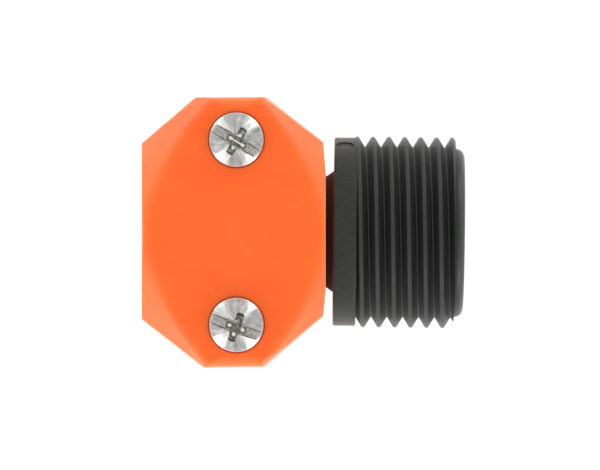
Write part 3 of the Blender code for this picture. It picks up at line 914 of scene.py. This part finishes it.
class Nodes:
    """Adds and joins the nodes of one material."""

    def __init__(self, name):
        self.material = bpy.data.materials.new(name)
        self.material.use_nodes = True
        self.tree = self.material.node_tree
        self.shader = self.tree.nodes["Principled BSDF"]
        coordinates = self.add("ShaderNodeTexCoord")
        self.place = coordinates.outputs["Object"]
        self.normal = coordinates.outputs["Normal"]

    def add(self, kind, **values):
        node = self.tree.nodes.new(kind)
        for key, value in values.items():
            setattr(node, key, value)
        return node

    def join(self, value, socket):
        """Joins the output of a node to the socket, or sets the socket to a plain value."""
        if isinstance(value, bpy.types.NodeSocket):
            self.tree.links.new(value, socket)
        else:
            socket.default_value = value

    def apart(self, vector):
        """The vector's X, Y and Z."""
        node = self.add("ShaderNodeSeparateXYZ")
        self.join(vector, node.inputs[0])
        return tuple(node.outputs)

    def flat(self, x, y):
        """The vector with that X and Y and no Z."""
        node = self.add("ShaderNodeCombineXYZ")
        self.join(x, node.inputs["X"])
        self.join(y, node.inputs["Y"])
        return node.outputs[0]

    def vector(self, operation, *vectors):
        node = self.add("ShaderNodeVectorMath", operation=operation)
        for vector, socket in zip(vectors, node.inputs):
            self.join(vector, socket)
        return node.outputs["Value" if operation == "LENGTH" else "Vector"]

    def noise(self, scale, detail=2.0, roughness=0.5, vector=None):
        node = self.add("ShaderNodeTexNoise")
        node.inputs["Scale"].default_value = scale
        node.inputs["Detail"].default_value = detail
        node.inputs["Roughness"].default_value = roughness
        self.join(self.place if vector is None else vector, node.inputs["Vector"])
        return node.outputs["Fac"]

    def ramp(self, value, stops):
        node = self.add("ShaderNodeValToRGB")
        ramp = node.color_ramp
        while len(ramp.elements) < len(stops):
            ramp.elements.new(0.5)
        for element, (position, colour) in zip(ramp.elements, stops):
            element.position = position
            element.color = (*colour, 1.0)
        self.join(value, node.inputs["Fac"])
        return node.outputs["Color"]

    def spread(self, value, low, high):
        """Goes evenly from low to high as the value goes from 0 to 1."""
        node = self.add("ShaderNodeMapRange")
        node.inputs["To Min"].default_value = low
        node.inputs["To Max"].default_value = high
        self.join(value, node.inputs["Value"])
        return node.outputs["Result"]

    def tint(self, colour, share, other):
        """The colour, replaced by the other one as the share goes from 0 to 1."""
        node = self.add("ShaderNodeMix", data_type="RGBA")
        node.inputs["B"].default_value = (*other, 1.0)
        self.join(share, node.inputs["Factor"])
        self.join(colour, node.inputs["A"])
        return node.outputs["Result"]

    def band(self, value, start, stop, low=0.0, high=1.0):
        """Goes smoothly from low to high as the value goes from start to stop."""
        node = self.add("ShaderNodeMapRange", interpolation_type="SMOOTHSTEP")
        node.inputs["From Min"].default_value = start
        node.inputs["From Max"].default_value = stop
        node.inputs["To Min"].default_value = low
        node.inputs["To Max"].default_value = high
        self.join(value, node.inputs["Value"])
        return node.outputs["Result"]

    def calc(self, operation, *values):
        node = self.add("ShaderNodeMath", operation=operation)
        for value, socket in zip(values, node.inputs):
            self.join(value, socket)
        return node.outputs[0]

    def times(self, first, second):
        return self.calc("MULTIPLY", first, second)

    def bump(self, height, distance, under=None):
        node = self.add("ShaderNodeBump")
        node.inputs["Distance"].default_value = distance
        node.inputs["Strength"].default_value = 1.0
        self.join(height, node.inputs["Height"])
        if under is not None:
            self.join(under, node.inputs["Normal"])
        return node.outputs["Normal"]

    def set(self, **values):
        for key, value in values.items():
            self.join(value, self.shader.inputs[key.replace("_", " ")])


def make_orange_plastic():
    """Moulded plastic that lets some light in, with a fine grain and shallow waves."""
    nodes = Nodes("orange_moulded_plastic")
    colour = nodes.ramp(nodes.noise(260.0, 3.0), (
        (0.30, (0.930, 0.121, 0.0010)),
        (0.50, (0.945, 0.128, 0.0016)),
        (0.72, (0.960, 0.135, 0.0024)),
    ))
    roughness = nodes.spread(nodes.noise(1100.0, 4.0, 0.6), 0.36, 0.50)
    grain = nodes.bump(nodes.noise(9000.0, 2.0), 0.000006)
    waves = nodes.bump(nodes.noise(240.0, 1.0), 0.00004, grain)
    nodes.set(
        Base_Color=colour, Roughness=roughness, Normal=waves,
        Subsurface_Weight=0.85, Subsurface_Radius=(1.0, 0.85, 0.45), Subsurface_Scale=0.0020,
        IOR=1.47, Sheen_Weight=0.36, Sheen_Roughness=0.45,
    )
    return nodes.material


def make_black_plastic():
    """Black plastic, with painted shade on its thread's flanks, painted highlights on the crests
    and in the roots, and reddish-brown painted light on the neck for the glow that the orange clamp
    throws onto it.
    """
    nodes = Nodes("black_moulded_plastic")
    x, y, along = nodes.apart(nodes.place)
    radius = nodes.vector("LENGTH", nodes.flat(x, y))
    colour = nodes.ramp(nodes.noise(2600.0, 4.0, 0.7), (
        (0.34, (0.0162, 0.0184, 0.0166)),
        (0.66, (0.0290, 0.0312, 0.0288)),
    ))
    root, major = THREAD_ROOT_RADIUS, THREAD_MAJOR_RADIUS
    thread_start = THREAD_X + COLLAR_SPREAD
    on_thread = nodes.times(
        nodes.band(along, thread_start, thread_start + 0.00004),
        nodes.band(along, THREAD_END_X + 0.0001, THREAD_END_X - 0.0001),
    )
    # Painted shade: the thread's flanks are darkened towards black, by about half near the root and
    # more towards the crest, for the shade between the turns.
    below_crest = nodes.band(radius, major - 0.00005, major - 0.00022)
    flank_shade_depth = nodes.band(radius, root + 0.0002, major - 0.0003, 0.50, 0.86)
    painted_flank_shade = nodes.times(nodes.times(below_crest, flank_shade_depth), on_thread)
    # Painted highlight: a paler band along the thread's crests.
    crest = nodes.band(radius, major - 0.00016, major - 0.00006, 0.0, 0.8)
    painted_crest_highlight = nodes.times(crest, on_thread)
    # Painted highlight: a lighter line along the thread's roots.
    painted_root_highlight = nodes.times(nodes.band(radius, root + 0.00012, root + 0.00002), on_thread)
    on_nose = nodes.band(along, THREAD_END_X, THREAD_END_X + 0.0008, 0.0, 0.55)
    # Painted light: the neck beside the clamp's end wall is tinted reddish brown, for the orange
    # light that the clamp throws onto it.
    painted_orange_bounce = nodes.times(
        nodes.band(along, COLLAR_X + 0.0001, COLLAR_X - 0.0001, 0.0, 0.85),
        nodes.band(along, WALL_X - 0.0012, WALL_X - 0.0004),
    )
    for share, other in (
        (painted_flank_shade, (0.0, 0.0, 0.0)),
        (painted_crest_highlight, (0.029, 0.031, 0.029)),
        (painted_root_highlight, (0.048, 0.051, 0.048)),
        (on_nose, (0.052, 0.054, 0.052)),
        (painted_orange_bounce, (0.220, 0.085, 0.062)),
    ):
        colour = nodes.tint(colour, share, other)
    nodes.set(
        Base_Color=colour,
        Roughness=nodes.spread(nodes.noise(1500.0, 4.0, 0.6), 0.36, 0.52),
        Normal=nodes.bump(nodes.noise(7000.0, 3.0), 0.000008),
        IOR=1.45, Specular_IOR_Level=0.26, Sheen_Weight=0.26, Sheen_Roughness=0.34,
    )
    return nodes.material


def shaded(colour, shares):
    return tuple(channel * share for channel, share in zip(colour, shares))


def make_screw_steel():
    """Turned steel: streaks that run outwards, broad and faintly tinted sectors, and a painted
    highlight on the rim.
    """
    nodes = Nodes("turned_screw_steel")
    base = (0.53, 0.525, 0.51)
    x, y, _ = nodes.apart(nodes.place)
    flat = nodes.flat(x, y)
    outward = nodes.vector("NORMALIZE", flat)
    streaks = nodes.noise(4.5, 3.0, vector=outward)
    # The sectors depend on the direction, and a little on the distance.
    sway = nodes.add("ShaderNodeVectorMath", operation="SCALE")
    sway.inputs["Scale"].default_value = 260.0
    nodes.join(flat, sway.inputs[0])
    sectors = nodes.noise(2.3, 3.0, 0.6, nodes.vector("ADD", outward, sway.outputs[0]))
    colour = nodes.ramp(sectors, (
        (0.34, shaded(base, (0.60, 0.64, 0.66))),
        (0.44, shaded(base, (0.86, 0.95, 0.93))),
        (0.54, shaded(base, (1.12, 1.06, 1.08))),
        (0.66, shaded(base, (1.45, 1.45, 1.41))),
    ))
    # Painted highlight: the rounded rim of the head is lightened.
    rim_start = HEAD_RADIUS - HEAD_RIM_ROUND
    painted_rim_highlight = nodes.band(nodes.vector("LENGTH", flat), rim_start, HEAD_RADIUS - 0.00005)
    tangent = nodes.add("ShaderNodeTangent", direction_type="RADIAL", axis="Z")
    nodes.set(
        Base_Color=nodes.tint(colour, painted_rim_highlight, (0.78, 0.77, 0.75)),
        Roughness=nodes.spread(streaks, 0.31, 0.51),
        Normal=nodes.bump(nodes.noise(5000.0, 3.0), 0.000004, nodes.bump(streaks, 0.00005)),
        Metallic=1.0, Anisotropic=0.76, Anisotropic_Rotation=0.25,
        Tangent=tangent.outputs["Tangent"],
    )
    return nodes.material


def make_nut_steel():
    """Plain plated steel."""
    nodes = Nodes("plated_nut_steel")
    base = (0.46, 0.455, 0.43)
    colour = nodes.ramp(nodes.noise(600.0, 3.0), (
        (0.30, shaded(base, (0.92, 0.92, 0.92))),
        (0.70, base),
    ))
    nodes.set(
        Base_Color=colour,
        Roughness=nodes.spread(nodes.noise(1800.0, 4.0, 0.6), 0.31, 0.43),
        Normal=nodes.bump(nodes.noise(5000.0, 3.0), 0.000004),
        Metallic=1.0,
    )
    return nodes.material


def make_recess_steel(name, drive_offset, ridge_share, upper_share):
    """The struck steel in the slot and the recess: duller and coarser, with painted shade along the
    slot's edges, on steep walls and in the pit, and a few painted highlights on the ledge and the
    ridge.
    """
    nodes = Nodes(name)
    centre_x, centre_y = drive_offset
    x, y, z = nodes.apart(nodes.place)
    facing_up = nodes.apart(nodes.normal)[2]

    def below(start, stop, share=1.0):
        """From nothing at one depth under the head's top to the share at the next."""
        return nodes.band(z, HEAD_TOP_Z - start, HEAD_TOP_Z - stop, 0.0, share)

    x_away = nodes.calc("ABSOLUTE", nodes.calc("SUBTRACT", x, centre_x))
    y_away = nodes.calc("ABSOLUTE", nodes.calc("SUBTRACT", y, centre_y))
    from_centre = nodes.vector("LENGTH", nodes.flat(x_away, y_away))
    # Painted shade: a dark line along the outer parts of the slot's long edges.
    painted_slot_edge_shade = nodes.times(
        nodes.band(x_away, 0.0012, 0.0016),
        nodes.band(y_away, SLOT_WIDTH / 2 - 0.00016, SLOT_WIDTH / 2 - 0.00002),
    )
    # Painted shade: steep walls are darkened, and so is the bottom of the pit, mottled by noise.
    steep_wall_shade = nodes.band(facing_up, 0.80, 0.45)
    pit_mottle = nodes.band(nodes.noise(2900.0, 2.0), 0.64, 0.50, 0.25, 1.0)
    painted_pit_shade = nodes.times(below(0.00114, 0.00122), pit_mottle)
    # Painted highlights: the ledge round the pit is lightened, fully on the lower side and by the
    # upper share on the upper side, and so is a thin streak along the middle, by the ridge share.
    ledge = nodes.times(nodes.band(from_centre, 0.00068, 0.00080), below(0.00135, 0.00139))
    upper = nodes.band(y, centre_y + 0.0003, centre_y + 0.0005, 1.0, upper_share)
    at_middle = nodes.times(
        nodes.band(y_away, 0.00013, 0.00006), nodes.band(x_away, 0.0009, 0.0008)
    )
    ridge = nodes.times(at_middle, below(0.00125, 0.00135, ridge_share))
    colour = nodes.ramp(nodes.noise(2300.0, 3.0, 0.6), (
        (0.36, (0.36, 0.35, 0.31)),
        (0.50, (0.47, 0.46, 0.42)),
        (0.64, (0.62, 0.61, 0.57)),
    ))
    for share, other in (
        (painted_slot_edge_shade, (0.13, 0.115, 0.095)),
        (steep_wall_shade, (0.25, 0.228, 0.195)),
        (painted_pit_shade, (0.19, 0.175, 0.145)),
        (nodes.times(ledge, upper), (0.98, 0.97, 0.94)),
        (ridge, (0.98, 0.97, 0.94)),
    ):
        colour = nodes.tint(colour, share, other)
    nodes.set(
        Base_Color=colour,
        Roughness=nodes.spread(nodes.noise(2500.0, 3.0), 0.28, 0.50),
        Normal=nodes.bump(nodes.noise(2600.0, 3.0), 0.00006),
        Metallic=1.0,
    )
    return nodes.material


orange_plastic = make_orange_plastic()
black_plastic = make_black_plastic()
screw_steel = make_screw_steel()
nut_steel = make_nut_steel()

make_clamp_half("front_clamp_shell", "front_clamp_half", "front_half", False)
make_clamp_half("back_clamp_shell", "back_clamp_half", "back_half", True)
make_stem()
for number, side, slot_angle_deg, drive_offset, ridge_share, upper_share in SCREWS:
    recess_steel = make_recess_steel(
        f"struck_recess_steel_{number}", drive_offset, ridge_share, upper_share
    )
    make_screw(number, side * SCREW_Y, slot_angle_deg, drive_offset, recess_steel)
    make_nut(number, side * SCREW_Y)


# Floor, world, lamps and camera.

CENTRE = Vector((-0.00040, -0.00037, AXIS_Z))
CAMERA_DISTANCE = 1.050
FRAME_WIDTH_AT_AXIS = 0.08349
SENSOR_WIDTH = 36.0
FLOOR_Z = -0.00002
FLOOR_HALF_SIDE = 1.5
FLOOR_GREY = 0.80
# What the camera sees of the floor: a glow that is nearly white, and some of its light.
FLOOR_SHOWN_GREY = 0.12
FLOOR_GLOW = 0.94
SEEN_IN_GLOSS = 0.8
TENT_LIGHT = 1.70
TENT_LEVELS = ((0.0, 0.90), (0.30, 1.0), (0.60, 0.72), (1.0, 0.07))
SOFTBOX_DISTANCE = 0.40
SOFTBOX_ELEVATION_DEG = 14.0
SOFTBOX_WIDTH = 0.15
SOFTBOX_HEIGHT = 0.16
SOFTBOXES = ((1, 50.0, 0.54), (2, 134.0, 0.35), (3, 225.0, 0.66), (4, 309.0, 0.72))


def grey(level):
    return (level, level, level, 1.0)


def seen_directly(tree):
    """1 for what the camera sees, also in gloss and through glass, and 0 for what lights it."""
    path = tree.nodes.new("ShaderNodeLightPath")
    total = path.outputs["Is Camera Ray"]
    for kind in ("Is Glossy Ray", "Is Transmission Ray"):
        either = tree.nodes.new("ShaderNodeMath")
        either.operation = "MAXIMUM"
        tree.links.new(total, either.inputs[0])
        tree.links.new(path.outputs[kind], either.inputs[1])
        total = either.outputs[0]
    return total


def make_floor():
    mesh = bpy.data.meshes.new("floor")
    corners = ((-1, -1), (1, -1), (1, 1), (-1, 1))
    points = [(x * FLOOR_HALF_SIDE, y * FLOOR_HALF_SIDE, FLOOR_Z) for x, y in corners]
    mesh.from_pydata(points, [], [(0, 1, 2, 3)])
    floor = bpy.data.objects.new("floor", mesh)
    bpy.context.scene.collection.objects.link(floor)
    material = bpy.data.materials.new("white_floor")
    material.use_nodes = True
    tree = material.node_tree
    tree.nodes.clear()
    link = tree.links.new
    output = tree.nodes.new("ShaderNodeOutputMaterial")
    lit = tree.nodes.new("ShaderNodeBsdfDiffuse")
    lit.inputs["Color"].default_value = grey(FLOOR_GREY)
    shown_lit = tree.nodes.new("ShaderNodeBsdfDiffuse")
    shown_lit.inputs["Color"].default_value = grey(FLOOR_SHOWN_GREY)
    glow = tree.nodes.new("ShaderNodeEmission")
    glow.inputs["Strength"].default_value = FLOOR_GLOW
    shown = tree.nodes.new("ShaderNodeAddShader")
    link(shown_lit.outputs[0], shown.inputs[0])
    link(glow.outputs[0], shown.inputs[1])
    mix = tree.nodes.new("ShaderNodeMixShader")
    link(seen_directly(tree), mix.inputs[0])
    link(lit.outputs[0], mix.inputs[1])
    link(shown.outputs[0], mix.inputs[2])
    link(mix.outputs[0], output.inputs["Surface"])
    material.cycles.emission_sampling = "NONE"
    mesh.materials.append(material)


def make_world():
    """A soft tent: brightest low down and dark overhead, and white to the camera."""
    world = bpy.data.worlds.new("studio")
    bpy.context.scene.world = world
    world.use_nodes = True
    tree = world.node_tree
    tree.nodes.clear()
    link = tree.links.new
    output = tree.nodes.new("ShaderNodeOutputWorld")
    place = tree.nodes.new("ShaderNodeTexCoord")
    split = tree.nodes.new("ShaderNodeSeparateXYZ")
    link(place.outputs["Generated"], split.inputs[0])
    level = tree.nodes.new("ShaderNodeValToRGB")
    while len(level.color_ramp.elements) < len(TENT_LEVELS):
        level.color_ramp.elements.new(0.5)
    for element, (height, share) in zip(level.color_ramp.elements, TENT_LEVELS):
        element.position = height
        element.color = grey(share)
    link(split.outputs["Z"], level.inputs["Fac"])
    light = tree.nodes.new("ShaderNodeBackground")
    light.inputs["Strength"].default_value = TENT_LIGHT
    link(level.outputs["Color"], light.inputs["Color"])
    white = tree.nodes.new("ShaderNodeBackground")
    white.inputs["Color"].default_value = grey(1.0)
    path = tree.nodes.new("ShaderNodeLightPath")
    strength = tree.nodes.new("ShaderNodeMapRange")
    strength.inputs["To Min"].default_value = SEEN_IN_GLOSS
    link(path.outputs["Is Camera Ray"], strength.inputs["Value"])
    link(strength.outputs["Result"], white.inputs["Strength"])
    mix = tree.nodes.new("ShaderNodeMixShader")
    link(seen_directly(tree), mix.inputs[0])
    link(light.outputs[0], mix.inputs[1])
    link(white.outputs[0], mix.inputs[2])
    link(mix.outputs[0], output.inputs["Surface"])


def add_softbox(name, azimuth_deg, power):
    lamp = bpy.data.lights.new(name, "AREA")
    lamp.shape = "RECTANGLE"
    lamp.size = SOFTBOX_WIDTH
    lamp.size_y = SOFTBOX_HEIGHT
    lamp.energy = power
    holder = bpy.data.objects.new(name, lamp)
    bpy.context.scene.collection.objects.link(holder)
    azimuth, elevation = math.radians(azimuth_deg), math.radians(SOFTBOX_ELEVATION_DEG)
    away = Vector((
        math.cos(azimuth) * math.cos(elevation),
        math.sin(azimuth) * math.cos(elevation),
        math.sin(elevation),
    ))
    holder.location = CENTRE + away * SOFTBOX_DISTANCE
    holder.rotation_euler = away.to_track_quat("Z", "Y").to_euler()


def make_camera():
    lens = bpy.data.cameras.new("camera")
    lens.sensor_width = SENSOR_WIDTH
    lens.lens = SENSOR_WIDTH * CAMERA_DISTANCE / FRAME_WIDTH_AT_AXIS
    lens.clip_start = 0.05
    lens.clip_end = 10.0
    camera = bpy.data.objects.new("camera", lens)
    camera.location = CENTRE + Vector((0.0, 0.0, CAMERA_DISTANCE))
    bpy.context.scene.collection.objects.link(camera)
    bpy.context.scene.camera = camera


make_floor()
make_world()
for number, azimuth_deg, power in SOFTBOXES:
    add_softbox(f"softbox_{number}", azimuth_deg, power)
make_camera()
bpy.context.scene.view_settings.view_transform = "Standard"
